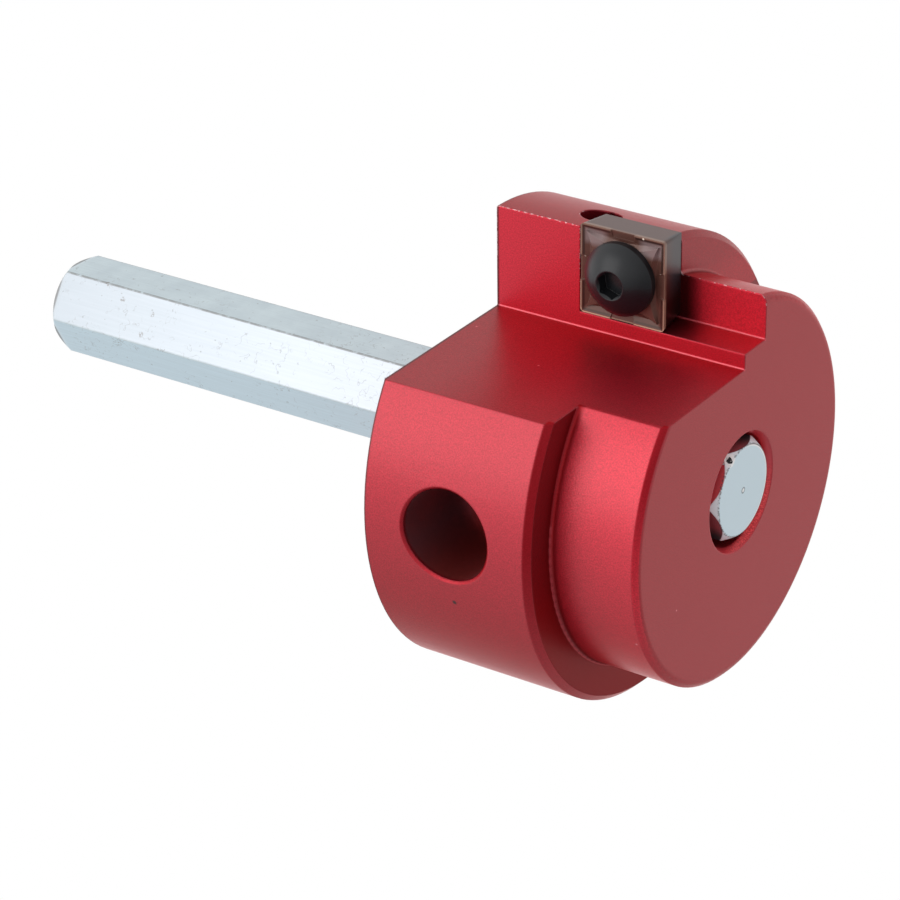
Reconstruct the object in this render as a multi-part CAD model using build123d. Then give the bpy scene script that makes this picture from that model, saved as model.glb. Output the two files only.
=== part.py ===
from build123d import *
from math import cos, radians, sin, sqrt, tan
import os

# Pipe fitting reamer: an aluminium head with one carbide insert on a hexagonal steel shank.
# It cuts a broken pipe out of its fitting: the pilot runs inside the pipe and the insert shaves
# the pipe's wall away. Millimetres. The origin is the centre of the nose face, and +Z runs from
# the nose along the shank. The notch, with the insert in it, opens towards -Y and -X.

# Head, turned from round bar
pilot_diameter = 40.0        # runs inside a 1 1/2 inch pipe
body_diameter = 48.1         # passes into the fitting behind the cut
pilot_length = 9.5           # nose face to the step
body_length = 28.3           # nose face to the rear face
nose_chamfer = 0.55
nose_blend = 0.8             # radius that leads from the chamfer into the nose face
front_chamfer = 0.65         # front edge of the large diameter
rear_chamfer = 0.15
root_fillet = 0.3            # where the pilot meets the step
bore_diameter = 11.7
bore_countersink = 0.42      # how much both mouths of the bore widen
bore_countersink_depth = 0.8

# Notch milled along the whole head: its wall lies in the plane through the axis
notch_fillet = 0.12          # along the foot of the wall

# Cutting insert: square, with relieved flanks
insert_side = 9.525
insert_thickness = 3.97
insert_relief = 7.0          # degrees
insert_corner = 0.4          # radius of the four cutting corners
insert_hole = 4.4
insert_lead = 0.45           # how far the insert stands out in front of the step
insert_proud = 0.425         # how far it stands out past the head's large diameter
insert_gap = 0.05            # clearance to the pocket's floor and end

# Chip former moulded into the insert's cutting face
rim_land = 0.18              # flat land behind the cutting edge
groove_width = 0.72          # from the land down to the groove's floor
groove_depth = 0.24
island_rise = 0.1            # the island's top stands this far above the cutting edge
island_tip = 0.72            # edge to the island's four tips
island_foot_inset = 1.12     # edge to the foot of the island, at mid side
island_top_inset = 1.75      # edge to the top of the island, at mid side
dip_width = 2.65             # lowered middle third of each cutting edge
dip_depth = 0.09
dip_reach = 0.8              # how far the dip runs in from the edge
dip_draft = 35.0             # slope of the dip's two ends, degrees from upright

# Pocket for the insert, cut into the notch's wall from the nose end
pocket_shelf = 1.65          # strip of wall between the notch's floor and the pocket
pocket_fillet = 0.12         # along the foot of the pocket's back wall
relief_hole = 4.2            # drilled where the pocket's back wall and end wall meet
relief_hole_sink = 0.3       # the drill runs this far below the pocket's floor

# Button head screw that holds the insert
screw_thread = 4.0
screw_head = 7.6
screw_head_height = 2.35
screw_head_band = 0.7        # upright edge below the dome
screw_face = 3.15            # flat ring round the socket
screw_socket = 2.5
screw_socket_depth = 1.4
screw_socket_mouth = 2.95    # bevelled mouth of the socket
screw_turn = 41.0            # degrees, a corner of the socket against the insert's side
screw_length = 8.0           # below the head
screw_tip_bevel = 0.5
tapped_spare = 1.0           # tapped hole past the screw's tip
drill_point = 59.0           # half angle of a drill's point, degrees

# Hexagonal shank, cut from bright drawn bar of 3/8 inch, a little under size
shank_flats = 9.4
shank_corner = 0.3           # rounding of the bar's six corners
shank_tip = 83.0             # nose face to the far end
shank_recess = 0.05          # the near end lies this far inside the nose face
shank_end_ring = 9.44        # diameter of the flat left by the end chamfers
shank_near_slope = 52.0      # degrees, end chamfer at the nose against the end face
shank_far_slope = 44.0
shank_turn = 1.5             # degrees, corner against the side hole's direction
shank_seat_gap = 0.02        # clearance where the far corner lies against the bore
pip_diameter = 0.5           # mark left in the middle of the near end by facing it
pip_height = 0.04

# Set screw for the shank, at the bottom of a well in the head's side
well_diameter = 9.6
well_depth = 11.0            # below the head's large diameter
well_height = 19.0           # nose face to the well's axis
well_shift = 0.45            # the well's axis lies this far off the head's axis, towards the notch
well_bevel = 0.25
set_screw_thread = 8.0
set_screw_length = 8.0
set_screw_socket = 4.0
set_screw_socket_depth = 3.5
set_screw_cup = 5.0          # diameter of the cup point
set_screw_cup_depth = 0.6
set_screw_bevel = 0.8
spot_depth = 0.75            # seat for the cup point, cut into the shank's corner
spot_margin = 0.6            # the seat is this much wider than the set screw, all round

# Sizes that follow from these
pilot_radius = pilot_diameter / 2
body_radius = body_diameter / 2
bore_radius = bore_diameter / 2
half_side = insert_side / 2
insert_front = pilot_length - insert_lead
insert_middle_z = insert_front + half_side
insert_middle_y = half_side - insert_proud - body_radius
pocket_floor = body_radius + insert_proud - insert_side - insert_gap   # axis to floor
notch_floor = pocket_floor - pocket_shelf                              # axis to floor
pocket_end = insert_front + insert_side + insert_gap
shank_corner_radius = shank_flats / sqrt(3)
rounded_corner_radius = shank_corner_radius - shank_corner * (2 / sqrt(3) - 1)
shank_shift = bore_radius - rounded_corner_radius - shank_seat_gap     # pushed by the set screw
spot_face = rounded_corner_radius - shank_shift - spot_depth
well_floor = body_radius - well_depth
overrun = 5.0                # how far a cutting tool runs past the stock

# The insert and its screw are drawn face up, then laid on the notch's wall: the face looks
# towards -X, its right side points at the nose, and its upper side points away from the axis.
insert_seat = Plane(
    origin=(0, insert_middle_y, insert_middle_z), x_dir=(0, 0, -1), z_dir=(-1, 0, 0)
)
# Along the side hole, looking in from outside
well_axis = Plane(origin=(0, -well_shift, well_height), x_dir=(0, 1, 0), z_dir=(-1, 0, 0))


def block(x_range, y_range, z_range):
    """A box between two limits along each axis."""
    size = [high - low for low, high in (x_range, y_range, z_range)]
    middle = [(high + low) / 2 for low, high in (x_range, y_range, z_range)]
    return Pos(*middle) * Box(*size)


def turned(points):
    """A solid turned about Z from (radius, height) points."""
    outline = Polyline(*[(radius, 0, height) for radius, height in points], close=True)
    return revolve(make_face(outline), Axis.Z)


def drilled(diameter, depth):
    """The shape that a drill leaves below z = 0, with its pointed bottom."""
    radius = diameter / 2
    point = radius / tan(radians(drill_point))
    return turned([(0, overrun), (radius, overrun), (radius, -depth), (0, -depth - point)])


def hexagon(across_flats, turn=0.0):
    """A hexagon with a corner towards +X, turned by some degrees."""
    corner_radius = across_flats / sqrt(3)
    angles = [radians(turn + 60 * k) for k in range(6)]
    corners = [(corner_radius * cos(angle), corner_radius * sin(angle)) for angle in angles]
    return make_face(Polyline(*corners, close=True))


def hexagonal_socket(across_flats, depth, mouth):
    """Cutter for a hexagonal socket that opens at z = 0, with a bevelled mouth."""
    hexagonal = extrude(hexagon(across_flats), amount=-depth)
    mouth_radius = mouth / 2
    flat_radius = across_flats / 2
    bevel_floor = flat_radius - mouth_radius
    bevel = turned([(0, 0), (mouth_radius, 0), (flat_radius, bevel_floor), (0, bevel_floor)])
    return hexagonal + bevel


def make_cutter_body():
    mouth_radius = bore_radius + bore_countersink
    body = turned(
        [
            (mouth_radius, 0),
            (pilot_radius - nose_chamfer, 0),
            (pilot_radius, nose_chamfer),
            (pilot_radius, pilot_length),
            (body_radius - front_chamfer, pilot_length),
            (body_radius, pilot_length + front_chamfer),
            (body_radius, body_length - rear_chamfer),
            (body_radius - rear_chamfer, body_length),
            (mouth_radius, body_length),
            (bore_radius, body_length - bore_countersink_depth),
            (bore_radius, bore_countersink_depth),
        ]
    )
    root = body.edges().sort_by_distance((pilot_radius, 0, pilot_length))[0]
    body = fillet(root, root_fillet)
    nose_rim = body.edges().sort_by_distance((pilot_radius - nose_chamfer, 0, 0))[0]
    body = fillet(nose_rim, nose_blend)

    # Notch, with a rounded foot to its wall
    outside = body_radius + overrun
    whole_length = (-overrun, body_length + overrun)
    notch = block((-outside, 0), (-outside, -notch_floor), whole_length)
    foot = notch.edges().filter_by(Axis.Z).sort_by_distance((0, -notch_floor, body_length / 2))[0]
    body -= fillet(foot, notch_fillet)

    # Pocket behind the wall, open to the notch, the nose and the outside
    pocket = block((-overrun, insert_thickness), (-outside, -pocket_floor), (-overrun, pocket_end))
    corner = (insert_thickness, -pocket_floor, 0)
    foot = pocket.edges().filter_by(Axis.Z).sort_by_distance(corner)[0]
    body -= fillet(foot, pocket_fillet)
    relief_depth = outside - pocket_floor + relief_hole_sink
    relief = Cylinder(relief_hole / 2, relief_depth, align=(Align.CENTER, Align.CENTER, Align.MIN))
    down_from_outside = Plane(
        origin=(insert_thickness, -outside, pocket_end), x_dir=(1, 0, 0), z_dir=(0, 1, 0)
    )
    body -= down_from_outside * relief

    # Tapped hole behind the insert
    tapped_depth = screw_length - island_rise - insert_thickness + tapped_spare
    body -= insert_seat * Pos(0, 0, -insert_thickness) * drilled(screw_thread, tapped_depth)

    # Well in the side, and the tapped hole from its bottom into the bore
    well = Cylinder(well_diameter / 2, well_depth + overrun, align=(Align.CENTER, Align.CENTER, Align.MIN))
    body -= well_axis * Pos(0, 0, well_floor) * well
    tapped = Cylinder(set_screw_thread / 2, well_floor, align=(Align.CENTER, Align.CENTER, Align.MIN))
    body -= well_axis * tapped
    mouth_top = (-sqrt(body_radius**2 - well_shift**2), -well_shift, well_height + well_diameter / 2)
    rim = body.edges().sort_by_distance(mouth_top)[0]
    return chamfer(rim, well_bevel)


def star(tip, side):
    """A square with hollow sides: tips at (tip, tip), and sides that pass (side, 0)."""
    corners = [(tip, tip), (-tip, tip), (-tip, -tip), (tip, -tip)]
    middles = [(0, side), (-side, 0), (0, -side), (side, 0)]
    arcs = [ThreePointArc(corners[k], middles[k], corners[(k + 1) % 4]) for k in range(4)]
    return make_face(Curve() + arcs)


def make_cutting_insert():
    face_outline = RectangleRounded(insert_side, insert_side, insert_corner)
    insert = extrude(face_outline, amount=-insert_thickness, taper=insert_relief)

    # Groove round the face, sloping down from the rim
    rim = insert_side - 2 * rim_land
    floor = rim - 2 * groove_width
    groove_rim = RectangleRounded(rim, rim, insert_corner - rim_land)
    groove_floor = RectangleRounded(floor, floor, insert_corner)
    insert -= loft([groove_rim, Pos(0, 0, -groove_depth) * groove_floor])

    # Island in the middle, with a tip that runs out to each corner
    foot = star(half_side - island_tip, half_side - island_foot_inset)
    top = star(half_side - island_tip, half_side - island_top_inset)
    insert += loft([Pos(0, 0, -groove_depth) * foot, Pos(0, 0, island_rise) * top])

    # Lowered middle third of each cutting edge
    slope = (groove_depth - dip_depth) / dip_reach
    dip_profile = make_face(
        Polyline(
            (0, half_side + overrun, -dip_depth + slope * overrun),
            (0, half_side - dip_reach, -groove_depth),
            (0, half_side - dip_reach, overrun),
            (0, half_side + overrun, overrun),
            close=True,
        )
    )
    dip = extrude(dip_profile, amount=dip_width / 2 + overrun, both=True)
    end_shift = tan(radians(dip_draft))
    for side in (-1, 1):
        low = side * dip_width / 2
        keep = make_face(
            Polyline(
                (low - side * groove_depth * end_shift, 0, -groove_depth),
                (low + side * overrun * end_shift, 0, overrun),
                (side * (insert_side + overrun), 0, overrun),
                (side * (insert_side + overrun), 0, -groove_depth),
                close=True,
            )
        )
        dip -= extrude(keep, amount=insert_side + overrun, both=True)
    for k in range(4):
        insert -= Rot(0, 0, 90 * k) * dip

    insert -= Cylinder(insert_hole / 2, insert_side)
    return insert_seat * insert


def make_insert_screw():
    head_radius = screw_head / 2
    face_radius = screw_face / 2
    thread_radius = screw_thread / 2
    # Centre height of the sphere that passes the head's band and the ring round the socket
    centre = (face_radius**2 + screw_head_height**2 - head_radius**2 - screw_head_band**2) / (
        2 * (screw_head_height - screw_head_band)
    )
    sphere_radius = sqrt(head_radius**2 + (screw_head_band - centre) ** 2)
    middle_radius = (head_radius + face_radius) / 2
    middle_height = centre + sqrt(sphere_radius**2 - middle_radius**2)
    dome = ThreePointArc(
        (face_radius, 0, screw_head_height),
        (middle_radius, 0, middle_height),
        (head_radius, 0, screw_head_band),
    )
    rest = Polyline(
        (head_radius, 0, screw_head_band),
        (head_radius, 0, 0),
        (thread_radius, 0, 0),
        (thread_radius, 0, screw_tip_bevel - screw_length),
        (thread_radius - screw_tip_bevel, 0, -screw_length),
        (0, 0, -screw_length),
        (0, 0, screw_head_height),
        (face_radius, 0, screw_head_height),
    )
    screw = revolve(make_face(dome + rest), Axis.Z)
    socket = hexagonal_socket(screw_socket, screw_socket_depth, screw_socket_mouth)
    screw -= Pos(0, 0, screw_head_height) * Rot(0, 0, screw_turn) * socket
    return insert_seat * Pos(0, 0, island_rise) * screw


def make_hex_shank():
    bar = extrude(hexagon(shank_flats, shank_turn), amount=shank_tip)
    bar = fillet(bar.edges().filter_by(Axis.Z), shank_corner)
    ring = shank_end_ring / 2
    outer = shank_corner_radius + overrun
    near_reach = (outer - ring) * tan(radians(shank_near_slope))
    far_reach = (outer - ring) * tan(radians(shank_far_slope))
    ends = turned(
        [
            (0, shank_recess),
            (ring, shank_recess),
            (outer, shank_recess + near_reach),
            (outer, shank_tip - far_reach),
            (ring, shank_tip),
            (0, shank_tip),
        ]
    )
    pip_top = shank_recess - pip_height
    pip = turned([(0, shank_recess + pip_height), (pip_diameter / 2, shank_recess), (0, pip_top)])
    shank = Pos(shank_shift, 0, 0) * ((bar & ends) + pip)
    spot = Cylinder(
        set_screw_thread / 2 + spot_margin, overrun, align=(Align.CENTER, Align.CENTER, Align.MIN)
    )
    return shank - well_axis * Pos(0, 0, spot_face) * spot


def make_shank_set_screw():
    radius = set_screw_thread / 2
    cup = set_screw_cup / 2
    screw = turned(
        [
            (0, set_screw_cup_depth),
            (cup - set_screw_cup_depth, set_screw_cup_depth),
            (cup, 0),
            (radius, radius - cup),
            (radius, set_screw_length - set_screw_bevel),
            (radius - set_screw_bevel, set_screw_length),
            (0, set_screw_length),
        ]
    )
    socket = extrude(hexagon(set_screw_socket), amount=-set_screw_socket_depth)
    screw -= Pos(0, 0, set_screw_length) * socket
    return well_axis * Pos(0, 0, spot_face) * screw


pieces = {
    "cutter_body": make_cutter_body(),
    "hex_shank": make_hex_shank(),
    "cutting_insert": make_cutting_insert(),
    "insert_screw": make_insert_screw(),
    "shank_set_screw": make_shank_set_screw(),
}

os.makedirs("parts", exist_ok=True)
for name, piece in pieces.items():
    piece.label = name
    export_step(piece, f"parts/{name}.step")
    print(name, "volume", round(piece.volume, 2), "mm3, solids", len(piece.solids()))
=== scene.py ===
from math import cos, pi, radians, sin
import bpy
from mathutils import Matrix, Vector

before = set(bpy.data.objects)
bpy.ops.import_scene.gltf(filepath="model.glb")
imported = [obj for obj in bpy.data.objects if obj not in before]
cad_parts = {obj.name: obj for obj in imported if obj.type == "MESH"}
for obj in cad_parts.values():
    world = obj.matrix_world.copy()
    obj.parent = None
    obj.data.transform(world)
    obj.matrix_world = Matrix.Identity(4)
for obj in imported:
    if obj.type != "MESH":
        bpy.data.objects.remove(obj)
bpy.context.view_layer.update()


# Camera: it looks at the nose from below the insert's side, with the shank pointing away to the
# left and the notch uppermost. It stands below the floor, which is clear from underneath. Its
# place and lens were solved from the photo, with the tool's main circles.
camera_place = Vector((-0.27239, -0.16363, -0.14902))      # m, as are the floor and the lamps
camera_aim = Vector((-0.00662, 0.00063, 0.02981))
picture_up = Vector((0.38644, -0.88974, 0.24295))
camera_lens = 143.115                                      # mm
sensor_width = 36.0

camera_data = bpy.data.cameras.new("camera")
camera_data.lens = camera_lens
camera_data.sensor_width = sensor_width
camera_data.clip_start = 0.01
camera_data.clip_end = 20
camera = bpy.data.objects.new("camera", camera_data)
bpy.context.scene.collection.objects.link(camera)
looking = (camera_aim - camera_place).normalized()
sideways = looking.cross(picture_up).normalized()
upright = sideways.cross(looking)
camera_turn = Matrix((sideways, upright, -looking)).transposed().to_4x4()
camera.matrix_world = Matrix.Translation(camera_place) @ camera_turn
bpy.context.scene.camera = camera
bpy.context.scene.view_settings.view_transform = "Standard"


# Studio: a white paper backdrop behind the tool, a room that is darker on the camera's side, and
# one large soft lamp on the side of the side well, with its glow on the walls around it. A lamp
# above and a weak one behind light the tool for views from other sides.
room_shade = 0.80                # walls that neither the backdrop nor the lamp lightens
camera_side_shade = 0.45
ground_shade = 0.62              # what is left of the walls' light towards the photo's ground
paper_ground_shade = 0.35        # and of the paper's light, as the metal mirrors it
lamp_glow = 0.55                 # what the lamp adds to the walls next to it
backdrop_direction = looking
ground_direction = -upright
main_direction = Vector((-0.80, -0.36, 0.45)).normalized()
top_direction = Vector((0.1, 0.1, 1.0)).normalized()
back_direction = Vector((0.75, 0.60, 0.55)).normalized()
lamp_target = Vector((0, 0, 0.03))


def add(tree, kind, *inputs, **named):
    """Add a node, set it up and feed it, and give the first of its outputs in use.

    The inputs go in order into the sockets in use. A name with a capital is a socket's, and any
    other name is a setting's.
    """
    node = tree.nodes.new("ShaderNode" + kind)
    for name, value in named.items():
        if name[0].islower():
            setattr(node, name, value)
    fed = list(zip([socket for socket in node.inputs if socket.enabled], inputs))
    for name, value in named.items():
        if name[0].isupper():
            fed.append((node.inputs[name.replace("_", " ")], value))
    for socket, value in fed:
        if isinstance(value, bpy.types.NodeSocket):
            tree.links.new(value, socket)
        else:
            socket.default_value = value
    return next((socket for socket in node.outputs if socket.enabled), None)


def all_of(tree, *masks):
    """The product of masks and shares: what lies in every one of them."""
    result = masks[0]
    for mask in masks[1:]:
        result = add(tree, "Math", result, mask, operation="MULTIPLY")
    return result


def any_of(tree, *masks):
    """The strongest of several masks at each place."""
    result = masks[0]
    for mask in masks[1:]:
        result = add(tree, "Math", result, mask, operation="MAXIMUM")
    return result


def linear(code):
    """The linear colour of an sRGB hex value."""
    channels = [int(code[k : k + 2], 16) / 255 for k in (1, 3, 5)]
    return [c / 12.92 if c <= 0.04045 else ((c + 0.055) / 1.055) ** 2.4 for c in channels] + [1.0]


def soft_lamp(name, direction, distance, side, brightness):
    """A square soft box whose face shows that brightness to what mirrors it."""
    data = bpy.data.lights.new(name, "AREA")
    data.shape = "SQUARE"
    data.size = side
    data.energy = brightness * pi * side * side
    lamp = bpy.data.objects.new(name, data)
    bpy.context.scene.collection.objects.link(lamp)
    lamp.location = lamp_target + direction * distance
    lamp.rotation_mode = "QUATERNION"
    lamp.rotation_quaternion = direction.to_track_quat("Z", "Y")


world = bpy.data.worlds.new("studio")
bpy.context.scene.world = world
world.use_nodes = True
tree = world.node_tree
tree.nodes.clear()

# how far each direction agrees with the lamp's, the backdrop's and the ground's: 1 along, -1 against
direction = add(tree, "TexCoord").node.outputs["Generated"]
towards_lamp, towards_backdrop, towards_ground = [
    add(tree, "VectorMath", direction, aim, operation="DOT_PRODUCT")
    for aim in (main_direction, backdrop_direction, ground_direction)
]
walls = all_of(
    tree,
    add(tree, "MapRange", towards_backdrop, -0.7, 0.2, camera_side_shade, room_shade),
    add(tree, "MapRange", towards_ground, 0.25, 0.55, 1.0, ground_shade),
)
glow = add(tree, "MapRange", towards_lamp, 0.0, 0.85, 0.0, lamp_glow)
brightness = add(tree, "Math", walls, glow, operation="ADD")
room_light = add(tree, "Background", linear("#FFFFFF"), brightness)
white_paper = add(tree, "Background", linear("#FFFFFF"), 1.0)

# the camera sees white paper all round, and what mirrors sees it behind the tool
ray = add(tree, "LightPath").node.outputs
on_paper = all_of(
    tree,
    add(tree, "MapRange", towards_backdrop, 0.75, 0.95, interpolation_type="SMOOTHSTEP"),
    add(tree, "MapRange", towards_ground, 0.0, 0.25, 1.0, paper_ground_shade),
)
mirrored = all_of(tree, any_of(tree, ray["Is Glossy Ray"], ray["Is Transmission Ray"]), on_paper)
shown = any_of(tree, ray["Is Camera Ray"], mirrored)
add(tree, "OutputWorld", add(tree, "MixShader", shown, room_light, white_paper))

soft_lamp("main_softbox", main_direction, distance=0.55, side=0.42, brightness=1.3)
soft_lamp("top_softbox", top_direction, distance=0.7, side=0.45, brightness=0.3)
soft_lamp("back_softbox", back_direction, distance=0.9, side=0.45, brightness=0.3)


# Floor: a pale matt sheet that the tool stands on. It is clear from underneath, where the camera
# stands, and neither shades the tool nor shows in it.
floor_side = 6.0
floor_drop = 0.0002      # keeps the floor clear of the nose face that stands on it
half = floor_side / 2
floor_corners = [(x, y, -floor_drop) for x, y in ((-half, -half), (half, -half), (half, half), (-half, half))]
floor_mesh = bpy.data.meshes.new("floor")
floor_mesh.from_pydata(floor_corners, [], [(0, 1, 2, 3)])
floor = bpy.data.objects.new("floor", floor_mesh)
bpy.context.scene.collection.objects.link(floor)
floor.visible_diffuse = False
floor.visible_glossy = False
floor.visible_transmission = False
floor.visible_shadow = False

# matt paint gives the eye one even pale tone
floor_paint = bpy.data.materials.new("pale_matt_floor")
floor_paint.use_nodes = True
tree = floor_paint.node_tree
tree.nodes.clear()
matt = add(tree, "BsdfDiffuse", linear("#F2F2F2"))
clear = add(tree, "BsdfTransparent")
from_below = add(tree, "NewGeometry").node.outputs["Backfacing"]
add(tree, "OutputMaterial", add(tree, "MixShader", from_below, matt, clear))
floor_mesh.materials.append(floor_paint)


# Head: one piece of aluminium, turned, milled and drilled, then bead blasted and anodised red.
# The dyed oxide is a clear hard skin over blasted metal. Sharp edges have lost specks of it.
mm = 0.001      # sizes and places from here on are millimetres, and Blender's lengths are metres


def box_of(node_name):
    """The lowest and the highest corner of a piece of the frame."""
    corners = [Vector(corner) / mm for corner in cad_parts[node_name].bound_box]
    return [Vector(pick(axis) for axis in zip(*corners)) for pick in (min, max)]


def new_material(name):
    """An empty material with its node tree."""
    material = bpy.data.materials.new(name)
    material.use_nodes = True
    material.node_tree.nodes.clear()
    return material, material.node_tree


def finish_with(node_name, material):
    """Give a piece of the frame its finish."""
    for material_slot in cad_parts[node_name].material_slots:
        material_slot.material = material


def millimetres(tree):
    """The place on the piece and its three coordinates."""
    metres = add(tree, "TexCoord").node.outputs["Object"]
    place = add(tree, "VectorMath", metres, Scale=1 / mm, operation="SCALE")
    return place, *add(tree, "SeparateXYZ", place).node.outputs


def off(tree, value, middle):
    """How far a value is from a middle one, to either side."""
    return add(tree, "Math", add(tree, "Math", value, middle, operation="SUBTRACT"), operation="ABSOLUTE")


def from_line(tree, first, second, first_middle=0.0, second_middle=0.0):
    """Distance from a line that runs along the third axis."""
    legs = [off(tree, first, first_middle), off(tree, second, second_middle)]
    squares = [all_of(tree, leg, leg) for leg in legs]
    return add(tree, "Math", add(tree, "Math", *squares, operation="ADD"), operation="SQRT")


def where(tree, *ranges):
    """A mask: 1 where every value is past the second of its two limits, 0 before the first."""
    return all_of(tree, *(add(tree, "MapRange", value, none, full) for value, none, full in ranges))


def near(tree, place, centre, reach, core):
    """A mask round one spot: 0 beyond its reach, 1 within its core."""
    gap = add(tree, "VectorMath", place, centre, operation="DISTANCE")
    return where(tree, (gap, reach, core))


def over(tree, colour, *coats):
    """Lay further colours over a colour, in order, each where its mask is."""
    for mask, coat in coats:
        coat = linear(coat) if isinstance(coat, str) else coat
        colour = add(tree, "Mix", mask, colour, coat, data_type="RGBA")
    return colour


def on_edges(tree, eased):
    """A mask from how far an eased normal turns away from the true one: 0 on faces, 1 on edges."""
    true = add(tree, "NewGeometry").node.outputs["Normal"]
    alike = add(tree, "VectorMath", eased, true, operation="DOT_PRODUCT")
    return where(tree, (alike, 0.98, 0.80))


head_low, head_high = box_of("cutter_body")
insert_low, insert_high = box_of("cutting_insert")
body_radius = -head_low.y
rear_face = head_high.z
pilot_radius = 20.0
step_height = 9.5              # nose face to the step
nose_chamfer = 0.55
front_chamfer = 0.65           # front edge of the large diameter
insert_gap = 0.05              # clearance between the insert and its pocket's floor
pocket_shelf = 1.65            # strip of wall between the notch's floor and the pocket
pocket_wall = insert_high.x    # the insert's back lies against it
pocket_floor = insert_high.y + insert_gap
notch_floor = pocket_floor + pocket_shelf
mouth_radius = 6.24            # countersink of the bore
mouth_lit_way = Vector((0.52, 0.85, 0.0))     # where the mouth's painted light is strongest, away from the notch
well_radius = 4.8
well_bevel_radius = 5.05
well_shift = -0.45             # the well's axis runs along X, at this y and this z
well_height = 19.0
head_edge_easing = 0.25        # how wide the sharp edges look rounded
blasted_grain = 0.15           # real beads leave dimples of about 0.1, drawn a little coarser
blasted_height = 0.016
patch_size = 5.0               # cloudy changes of the dye
mouth_glint_size = 0.16            # painted glints on the facets that the countersink drill left
flake_size = 0.40
head_specks = [                # place, reach and colour: one dark pit and pale dust
    ((-23.02, 6.95, 18.5), 0.30, "#3A0C12"),
    ((-9.64, notch_floor, 17.35), 0.14, "#E07C86"),
    ((-5.42, notch_floor, 27.26), 0.14, "#E07C86"),
    ((-18.04, 8.64, 1.03), 0.14, "#F0A0A8"),
    ((-12.30, 7.37, 0.0), 0.12, "#F0A0A8"),
]

# anodised aluminium, bead blasted: the eye sees deep red with broad soft highlights, a fine grain
# in them, and a thin gloss on top that whitens where it is seen at a low angle
anodised, tree = new_material("red_anodised_aluminium_bead_blasted")
place, x, y, z = millimetres(tree)
from_axis = from_line(tree, x, y)
from_well_axis = from_line(tree, y, z, well_shift, well_height)
facing = add(tree, "SeparateXYZ", add(tree, "NewGeometry").node.outputs["True Normal"]).node.outputs
grain = add(tree, "TexNoise", place, 1 / blasted_grain, 4.0, 0.75)
patches = add(tree, "TexNoise", place, 1 / patch_size, 2.0, 0.6)

# masks of the head's faces: flat ones by the way they face and by their plane, turned ones by their
# distance from the axis; each pair gives where a mask starts and where it is full
walls_way = (facing["X"], -0.98, -0.99)      # the notch's wall and the pocket's face -X,
floors_way = (facing["Y"], -0.98, -0.99)     # their floors -Y,
nose_way = (facing["Z"], -0.98, -0.99)       # and the nose and the step -Z
on_wall = where(tree, walls_way, (y, notch_floor, notch_floor - 0.10))
on_floor = where(tree, floors_way, (off(tree, y, notch_floor), 0.10, 0.03))
on_pocket_floor = where(tree, floors_way, (off(tree, y, pocket_floor), 0.10, 0.03))
past_notch = (y, notch_floor + 0.01, notch_floor + 0.10)
on_step = where(tree, nose_way, (off(tree, z, step_height), 0.10, 0.03), past_notch)
on_nose = where(tree, (z, 0.05, 0.01))
on_pilot = where(
    tree,
    (from_axis, pilot_radius - 0.4, pilot_radius - 0.1),
    (z, step_height - 0.4, step_height - 0.9),
    (z, 0.1, 0.7),
)
nose_radius = pilot_radius - nose_chamfer
on_nose_edge = where(
    tree,
    (z, nose_chamfer + 0.05, nose_chamfer - 0.05),
    (from_axis, nose_radius - 0.05, nose_radius + 0.05),
)
chamfer_top = step_height + front_chamfer
step_radius = body_radius - front_chamfer
on_chamfer = where(
    tree,
    (z, chamfer_top + 0.05, chamfer_top - 0.10),
    (from_axis, step_radius - 0.10, step_radius + 0.05),
)
in_root = where(
    tree,
    (from_axis, pilot_radius + 0.20, pilot_radius + 0.05),
    (from_axis, pilot_radius - 0.3, pilot_radius - 0.1),
    (z, step_height - 0.8, step_height - 0.3),
    (z, step_height + 0.10, step_height + 0.05),
)
well_side = (x, -10.0, -11.0)
in_well = where(
    tree,
    (from_well_axis, well_radius + 0.10, well_radius + 0.05),
    (from_axis, body_radius - 0.35, body_radius - 0.75),
    well_side,
)
on_well_bevel = where(
    tree,
    (from_well_axis, well_bevel_radius + 0.05, well_bevel_radius - 0.02),
    (from_well_axis, well_radius, well_radius + 0.04),
    well_side,
)
in_mouth = where(tree, (from_axis, mouth_radius + 0.10, mouth_radius - 0.10))

# painted light and shade: the milled walls and the pilot are painted brighter, and the side of the nose's
# edge carries a painted highlight; the notch's floor, the nose and the outside round the notch are painted a
# little darker; the number beside each mask is its strength
nose_edge_highlight = all_of(tree, on_nose_edge, where(tree, (y, -10.0, -2.0), (y, 14.0, 2.0)))
outside_notch = where(tree, (y, -16.0, -19.0), (on_wall, 0.5, 0.0))
painted_brightening = any_of(
    tree,
    all_of(tree, on_wall, add(tree, "MapRange", x, 1.0, 3.0, 0.28, 0.42)),
    all_of(tree, on_pilot, 0.27),
    all_of(tree, nose_edge_highlight, 0.85),
)
painted_darkening = any_of(
    tree,
    all_of(tree, on_floor, 0.18),
    all_of(tree, on_nose, 0.12),
    all_of(tree, outside_notch, 0.20),
)
painted_light_gain = add(tree, "Math", add(tree, "Math", painted_brightening, 1.0, operation="ADD"), painted_darkening, operation="SUBTRACT")
red = over(
    tree,
    linear("#A51B2B"),
    (where(tree, (grain, 0.38, 0.62)), "#C9253A"),
    (all_of(tree, where(tree, (patches, 0.3, 0.7)), 0.15), "#A81C2C"),
)
red = add(tree, "VectorMath", red, Scale=painted_light_gain, operation="SCALE")
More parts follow.
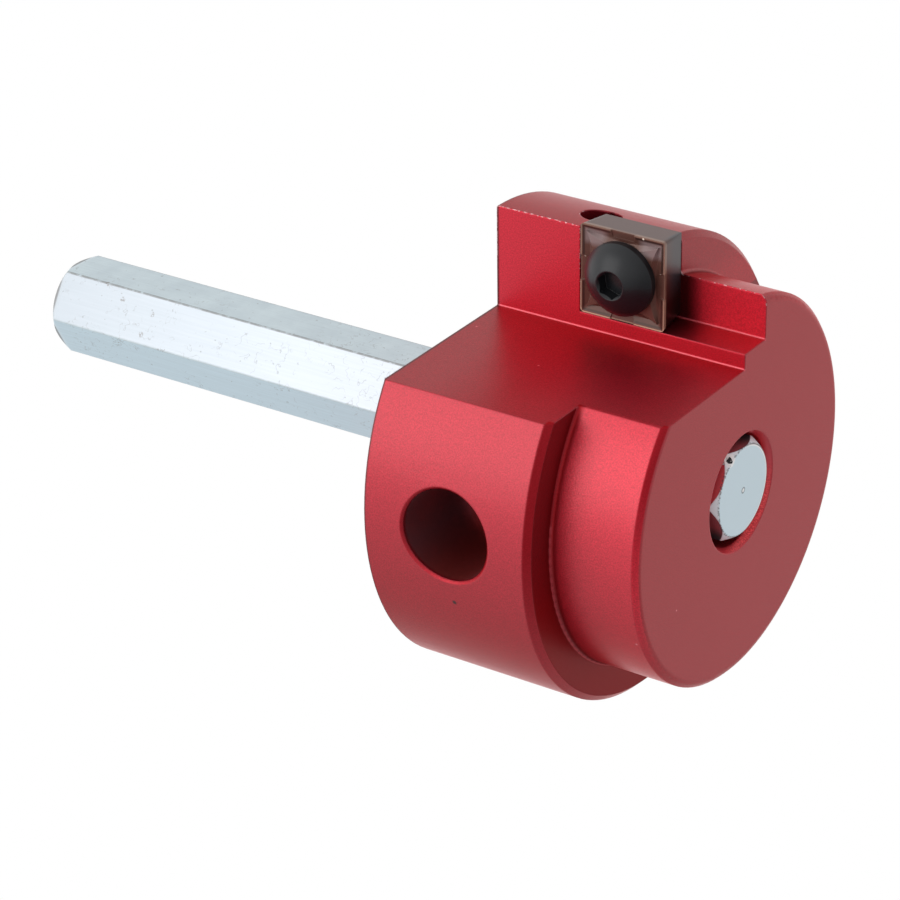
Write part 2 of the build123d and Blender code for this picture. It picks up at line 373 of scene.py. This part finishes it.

# the side well's inside is painted a greyer pink that stands in for the hue of its shade, and redder on its
# lower side, a painted warm light; painted shade darkens the pilot's root, the step, the front chamfer beside
# the notch and the pocket around the insert, where the insert casts its shadow
well_lower_side = where(tree, (y, 1.8, 4.2))
painted_well_colour = over(tree, linear("#AC7078"), (well_lower_side, "#C05450"))
darkest = insert_low.z - 0.25
shadow_beside_insert = any_of(
    tree,
    all_of(tree, on_wall, where(tree, (x, pocket_wall - 0.77, pocket_wall - 0.27), (z, 7.0, darkest))),
    all_of(tree, on_pocket_floor, where(tree, (z, 5.5, darkest)), 0.8),
)
beside_notch = where(tree, (y, 2.0, -8.0))
painted_shade = any_of(
    tree,
    all_of(tree, in_root, 0.45),
    all_of(tree, shadow_beside_insert, 0.85),
    all_of(tree, on_chamfer, beside_notch, 0.12),
    all_of(tree, on_step, add(tree, "MapRange", y, 6.0, 16.0, 0.50, 0.75)),
)

# painted light: the bore's mouths are painted a brighter red with painted glints, brightest on the side away
# from the notch
mouth_glints = where(tree, (add(tree, "TexNoise", place, 1 / mouth_glint_size, 2.0, 0.6), 0.42, 0.60))
across_mouth = add(tree, "VectorMath", place, mouth_lit_way, operation="DOT_PRODUCT")
painted_mouth_light = over(
    tree,
    linear("#D0202E"),
    (mouth_glints, "#FF4A50"),
    (where(tree, (across_mouth, 5.7, 2.1)), "#E0505C"),
)

# painted highlights run along the feet of the notch's wall and of the pocket's back wall, where the cutters'
# corners ran, and the rear rim is dark
foot_highlight = any_of(
    tree,
    where(tree, (from_line(tree, x, y, 0.0, notch_floor), 0.16, 0.07)),
    all_of(tree, where(tree, (from_line(tree, x, y, pocket_wall, pocket_floor), 0.20, 0.08)), 0.7),
)
rear_rim = where(tree, (z, rear_face - 0.32, rear_face - 0.17), (facing["Z"], 0.9, 0.8))

# the edges that stand out round the notch show bare specks, and more of them towards the rear
eased = add(tree, "Bevel", head_edge_easing * mm, samples=6)
more_at_rear = add(tree, "MapRange", z, 16.0, 28.0, 0.0, 0.06)
flakes = add(tree, "TexNoise", place, 1 / flake_size, 3.0, 0.6)
flaking = add(tree, "Math", flakes, more_at_rear, operation="ADD")
round_notch = where(tree, (y, -17.5, -18.5), (x, 5.0, 4.0))
flaked = all_of(tree, on_edges(tree, eased), where(tree, (flaking, 0.53, 0.60)), round_notch)

# turned chamfers, the root and the well's bevel show a purer red and mirror least, and the more so
# towards the notch
turned_edges = any_of(
    tree,
    all_of(tree, on_nose_edge, where(tree, (y, 4.0, -8.0))),
    all_of(tree, any_of(tree, on_chamfer, in_root), where(tree, (y, 14.0, -2.0))),
)
bevelled = any_of(
    tree,
    all_of(tree, turned_edges, where(tree, (x, 2.0, 0.0))),
    all_of(tree, on_well_bevel, 0.6),
    all_of(tree, on_step, where(tree, (y, -2.0, 6.0)), 0.75),
)
# over the grain go the painted well colour, the painted shade, the mouth's painted light, the painted foot
# highlights, the dark rear rim, bare flakes, specks and the bevels' purer red
red = over(
    tree,
    red,
    (in_well, painted_well_colour),
    (painted_shade, "#34060A"),
    (in_mouth, painted_mouth_light),
    (all_of(tree, foot_highlight, 0.75), "#F46C7A"),
    (all_of(tree, rear_rim, 0.8), "#3A0A10"),
    (flaked, "#EED4D6"),
    *((near(tree, place, spot, reach, 0.5 * reach), colour) for spot, reach, colour in head_specks),
    (all_of(tree, bevelled, 0.45), "#B40C12"),
)

# the clear skin mirrors more on turned faces than on milled ones
milled = any_of(tree, on_wall, all_of(tree, on_floor, where(tree, (z, 24.0, 16.0))))
clear_skin = all_of(
    tree,
    add(tree, "MapRange", milled, 0.0, 1.0, 0.75, 0.45),
    add(tree, "MapRange", bevelled, 0.0, 1.0, 1.0, 0.25),
)
dimples = add(tree, "Bump", Height=grain, Distance=blasted_height * mm, Normal=eased)
skin = add(
    tree,
    "BsdfPrincipled",
    Base_Color=red,
    Metallic=1.0,
    Specular_Tint=linear("#FF6070"),
    Roughness=0.52,
    Normal=dimples,
    Coat_Weight=clear_skin,
    Coat_Roughness=0.30,
    Coat_IOR=1.6,      # aluminium oxide
    Coat_Normal=dimples,
)
add(tree, "OutputMaterial", skin)
finish_with("cutter_body", anodised)


# Shank: hexagonal steel bar, cold drawn, sawn and chamfered, then bright zinc plated. Its corners
# are scuffed and nicked, most of all the one above the side well.
shank_end = box_of("hex_shank")[1].z
shank_recess = 0.05           # the near end lies this far inside the nose face
shank_middle = 0.446          # the bar lies this far off the head's axis
shank_turn = 1.5              # degrees, a corner against the X axis
corner_radius = 5.38          # rounded corners of the bar
end_ring_radius = 4.72        # flat left by the end chamfers
near_chamfer_slope = 0.78     # how much the near end's chamfer widens in each millimetre
pip_radius = 0.25             # mark left in the middle of the near end by facing it
shank_edge_easing = 0.10
cloud_size = 3.0              # cloudy changes of the plate
draw_line_width = 0.25        # real lines are finer, drawn as coarse as they need to show
draw_line_stretch = 0.03      # how much slower they change along the bar
scuff_size = 0.8
rim_speckle_size = 0.25
nick_roughness = 0.3
nick_size = 0.22
scratch_bend = 1.6            # how far apart the curves of the scratches are
scratch_gap = 0.9             # each scratch is broken off after about this length
scratch_patch = 7.0
speck_size = 0.45
corner_nick = (-2.02, -4.28, 0.33)
shank_nicks = [               # place and reach
    ((-2.18, -4.70, 76.8), 0.35),
    ((-2.82, -3.67, 74.3), 0.36),
    ((-3.17, -3.09, 70.1), 0.35),
    ((-4.42, -1.05, 70.8), 0.36),
    ((-4.52, 0.70, 73.7), 0.35),
]


def flat_direction(number):
    """The way that one of the bar's six flats faces, counted from the first one past +X as 0."""
    angle = radians(shank_turn + 30 + 60 * number)
    return Vector((cos(angle), sin(angle), 0.0))


# bright zinc plate on drawn bar: the eye sees a pale blue white, half mirror and half milk, whose
# reflections stay soft, because the plate follows the bar's fine lines
zinc, tree = new_material("bright_zinc_plated_drawn_steel")
place, x, y, z = millimetres(tree)
from_axis = from_line(tree, x, y, shank_middle, 0.0)
facing = add(tree, "NewGeometry").node.outputs["True Normal"]

# the plate's tint changes in clouds; flat 3, towards the notch, is painted a little violet and darker towards
# the far end, and flat 2, past the side well, painted lighter and bluer, painted light and shade for the way
# each flat faces; faint lines run along the drawn bar
cloud = add(tree, "TexNoise", place, 1 / cloud_size, 3.0, 0.6)
painted_violet_facing = add(tree, "VectorMath", facing, flat_direction(3), operation="DOT_PRODUCT")
painted_light_facing = add(tree, "VectorMath", facing, flat_direction(2), operation="DOT_PRODUCT")
painted_violet_flat = over(tree, linear("#DCE3EA"), (where(tree, (z, 50.0, shank_end)), "#CBD2D9"))
stretched = add(tree, "VectorMath", place, (1.0, 1.0, draw_line_stretch), operation="MULTIPLY")
draw_lines = add(tree, "TexNoise", stretched, 1 / draw_line_width, 2.0, 0.6)

# scuffed corners, most of all the one nearest to the notch
corner = where(tree, (from_axis, corner_radius - 0.045, corner_radius - 0.015))
scuffs = where(tree, (add(tree, "TexNoise", place, 1 / scuff_size, 4.0, 0.7), 0.28, 0.52))
corner_dirt = all_of(tree, corner, scuffs, add(tree, "MapRange", y, -3.6, -4.3, 0.25, 1.0))

# near end: a rougher chamfer painted near white, a painted highlight, with a rough rim; a nick at one corner
# painted black for its shade, with a painted highlight round it; a painted white highlight and a dark line
# round the end face, which is painted paler, and a bright pip with a dark ring; the flats behind it carry a
# painted reflection of the bore's red, lighter on one side, that ends in painted shade in the gap
at_near_end = (z, 1.0, 0.9)
end_face = (z, shank_recess + 0.04, shank_recess + 0.01)
wide_radius = end_ring_radius + near_chamfer_slope
cone_radius = add(tree, "MapRange", z, shank_recess, shank_recess + 1.0, end_ring_radius, wide_radius)
off_cone = off(tree, from_axis, cone_radius)
on_cone = where(tree, (off_cone, 0.08, 0.03), at_near_end)
in_bore = where(tree, (off_cone, 0.03, 0.08), (z, 0.07, 0.12), (z, 8.0, 6.0))
gap_painted_light = where(tree, (y, -0.2, -0.9), (y, -4.5, -4.1))
gap_painted_shade = any_of(tree, where(tree, (y, 2.6, 4.0)), where(tree, (y, -4.3, -4.5), (x, 0.4, 2.4)))
painted_bore_reflection = over(tree, linear("#C84450"), (gap_painted_light, "#FF4A58"), (gap_painted_shade, "#1C0608"))
speckle = add(tree, "TexNoise", place, 1 / rim_speckle_size, 1.0, 0.6)
rough_rim = where(
    tree,
    (from_axis, end_ring_radius - 0.12, end_ring_radius - 0.02),
    (from_axis, end_ring_radius + 0.14, end_ring_radius + 0.04),
    (speckle, 0.42, 0.55),
    (z, shank_recess + 0.30, shank_recess + 0.20),
)
from_nick = add(tree, "VectorMath", place, corner_nick, operation="DISTANCE")
nick_noise = add(tree, "TexNoise", place, 1 / nick_roughness, 1.0, 0.6)
wander = add(tree, "MapRange", nick_noise, 0.3, 0.7, -0.16, 0.16)
ragged = add(tree, "Math", from_nick, wander, operation="ADD")
away_from_well = (x, 0.5, 2.0)
end_highlight = where(tree, (from_axis, end_ring_radius - 0.26, end_ring_radius - 0.20), end_face, away_from_well)
dark_line = where(tree, (from_axis, end_ring_radius - 0.10, end_ring_radius - 0.06), end_face, away_from_well)
pip_ring = where(tree, (from_axis, pip_radius + 0.13, pip_radius + 0.05), at_near_end)
pip = where(tree, (from_axis, pip_radius - 0.01, pip_radius - 0.07), at_near_end)

# far end: a matt chamfer with a dark line round its rim
far_chamfer = where(tree, (z, shank_end - 0.7, shank_end - 0.5))
far_rim = where(
    tree, (z, shank_end - 0.4, shank_end - 0.2), (from_axis, end_ring_radius - 0.22, end_ring_radius - 0.07)
)

# brown nicks where a chuck held it, and faint curved scratches and specks in patches
nick_shape = where(tree, (add(tree, "TexNoise", place, 1 / nick_size, 2.0, 0.6), 0.46, 0.54))
scratches = where(
    tree,
    (off(tree, add(tree, "TexNoise", place, 1 / scratch_bend, 2.0, 0.6), 0.5), 0.014, 0.004),
    (add(tree, "TexNoise", place, 1 / scratch_gap, 1.0, 0.6), 0.46, 0.54),
    (add(tree, "TexNoise", place, 1 / scratch_patch, 2.0, 0.6), 0.46, 0.54),
)
specks = where(tree, (add(tree, "TexNoise", place, 1 / speck_size, 1.0, 0.6), 0.74, 0.78))
marks = any_of(tree, all_of(tree, scratches, 0.34), all_of(tree, specks, 0.45))

plate_colour = over(
    tree,
    linear("#CFDCE2"),
    (where(tree, (cloud, 0.3, 0.7)), "#D9E6EB"),
    (where(tree, (painted_violet_facing, 0.95, 0.99)), painted_violet_flat),
    (where(tree, (painted_light_facing, 0.95, 0.99)), "#DCEFF9"),
    (all_of(tree, where(tree, (draw_lines, 0.3, 0.7), (z, 0.3, 1.0)), 0.12), "#A4B0B7"),
    (all_of(tree, corner_dirt, 0.58), "#77706B"),
    (all_of(tree, in_bore, 0.85), painted_bore_reflection),
    (all_of(tree, on_cone, 0.85), "#F4F9FF"),
    (all_of(tree, where(tree, end_face), 0.9), "#E4F4FC"),
    (all_of(tree, rough_rim, 0.7), "#70787D"),
    (where(tree, (ragged, 0.75, 0.62)), "#FFFFFF"),
    (where(tree, (ragged, 0.36, 0.28)), "#1B1D1F"),
    (end_highlight, "#FFFFFF"),
    (all_of(tree, dark_line, 0.8), "#6A4A50"),
    (all_of(tree, pip_ring, 0.8), "#7E888E"),
    (pip, "#FFFFFF"),
    (all_of(tree, far_chamfer, 0.4), "#E9F0F4"),
    (all_of(tree, far_rim, 0.7), "#8A8785"),
    *(
        (all_of(tree, near(tree, place, spot, reach, 0.6 * reach), nick_shape, 0.6), "#857A72")
        for spot, reach in shank_nicks
    ),
    (all_of(tree, marks, where(tree, (z, 0.5, 1.5))), "#8A8886"),
)

# milky passivation keeps the plate from being a full mirror, and the chamfers are cut rougher
eased = add(tree, "Bevel", shank_edge_easing * mm, samples=6)
plate = add(
    tree,
    "BsdfPrincipled",
    Base_Color=plate_colour,
    Metallic=add(tree, "MapRange", on_cone, 0.0, 1.0, 0.65, 0.25),
    Roughness=add(tree, "MapRange", far_chamfer, 0.0, 1.0, 0.55, 0.70),
    Normal=eased,
)
add(tree, "OutputMaterial", plate)
finish_with("hex_shank", zinc)


# Insert: tungsten carbide, pressed, sintered and ground, with a bronze brown vapour coating that
# has worn to tan along the cutting edges. The screw clamps it in its pocket.
insert_middle = (insert_low + insert_high) / 2
half_side = (insert_high.y - insert_low.y) / 2
pressed_grain = 0.18          # sintered grains are far finer, drawn as coarse as they need to show
insert_edge_easing = 0.05
glint_reach = 0.15
insert_glints = [(0.05, -20.9, 18.1), (0.05, -20.9, 9.6), (0.05, -24.3, 11.5)]     # painted glints

# coated carbide: the eye sees dark brown satin, with soft grey highlights on the chip former's
# slopes and a bright line where the coating has worn off a cutting edge
carbide, tree = new_material("bronze_coated_sintered_carbide")
place, x, y, z = millimetres(tree)
off_y = off(tree, y, insert_middle.y)
off_z = off(tree, z, insert_middle.z)
from_edge = add(tree, "Math", half_side, any_of(tree, off_y, off_z), operation="SUBTRACT")
on_face = where(tree, (x, 0.5, 0.4))
pressed = add(tree, "TexNoise", place, 1 / pressed_grain, 2.0, 0.6)

# the flank at the nose carries a painted grey reflection at its back and painted shade, nearly black, above
# the pocket
nose_flank = (z, 9.9, 9.6)
flank_with_painted_shade = over(
    tree,
    linear("#452A26"),
    (pressed, "#533530"),
    (where(tree, nose_flank, (x, 0.6, 2.2)), "#34363C"),
    (where(tree, nose_flank, (y, -20.5, -17.5)), "#130D0C"),
)
brown = over(tree, linear("#52352F"), (pressed, "#644138"))

# painted shade lies as a dark line inside the corners' cutting edges, which have worn to tan, most of all
# towards the notch's floor, and painted highlights lie as pale crescents on the slopes near the outer corners
near_corners = where(tree, (add(tree, "Math", off_y, off_z, operation="MINIMUM"), 1.30, 1.50))
shade_below_rim = all_of(tree, where(tree, (from_edge, 0.50, 0.40), (from_edge, 0.20, 0.28)), near_corners, on_face)
worn = add(
    tree,
    "Math",
    add(tree, "MapRange", y, -24.2, -15.4, 0.20, 0.50),
    add(tree, "MapRange", y, -15.4, -15.2, 0.0, 0.55),
    operation="ADD",
)
rim_line = all_of(
    tree,
    where(tree, (from_edge, 0.17, 0.10)),
    on_face,
    worn,
    add(tree, "MapRange", near_corners, 0.0, 1.0, 0.4, 1.0),
)
on_slope = where(tree, (y, -22.2, -22.8), (off_z, 1.6, 2.4), (from_edge, 0.35, 0.60))
slope_highlight = all_of(tree, on_slope, on_face, 0.6)
coat_colour = over(
    tree,
    flank_with_painted_shade,
    (on_face, brown),
    (shade_below_rim, "#33201C"),
    (rim_line, "#DCB69C"),
    (slope_highlight, "#9A8A8C"),
    *((near(tree, place, chip, glint_reach, glint_reach - 0.08), "#FFEEDF") for chip in insert_glints),
)
eased = add(tree, "Bevel", insert_edge_easing * mm, samples=6)
coating = add(
    tree,
    "BsdfPrincipled",
    Base_Color=coat_colour,
    Roughness=0.32,
    IOR=1.58,
    Specular_Tint=linear("#F8DCD2"),      # the coating's warm tone shows in its shine too
    Normal=eased,
)
add(tree, "OutputMaterial", coating)
finish_with("cutting_insert", carbide)


# Screws: alloy steel, forged heads, hardened and blackened in a hot oxide bath, then oiled. One
# holds the insert, the other clamps the shank from the bottom of the side well.
scale_size = 0.15             # the forging's scale is about this coarse
scale_height = 0.004
screw_edge_easing = 0.08

# oiled black oxide: the eye sees near black with a soft grey sheen, greyer on rubbed edges
black_oxide, tree = new_material("black_oxide_oiled_steel")
place = millimetres(tree)[0]
scale_grain = add(tree, "TexNoise", place, 1 / scale_size, 2.0, 0.6)
eased = add(tree, "Bevel", screw_edge_easing * mm, samples=6)
rubbed = all_of(tree, on_edges(tree, eased), 0.35)
black = over(tree, linear("#0E1013"), (scale_grain, "#1A1C21"), (rubbed, "#6A6C70"))
grained = add(tree, "Bump", Height=scale_grain, Distance=scale_height * mm, Normal=eased)
oxide = add(tree, "BsdfPrincipled", Base_Color=black, Roughness=0.33, IOR=1.45, Normal=grained)
add(tree, "OutputMaterial", oxide)
finish_with("insert_screw", black_oxide)
finish_with("shank_set_screw", black_oxide)
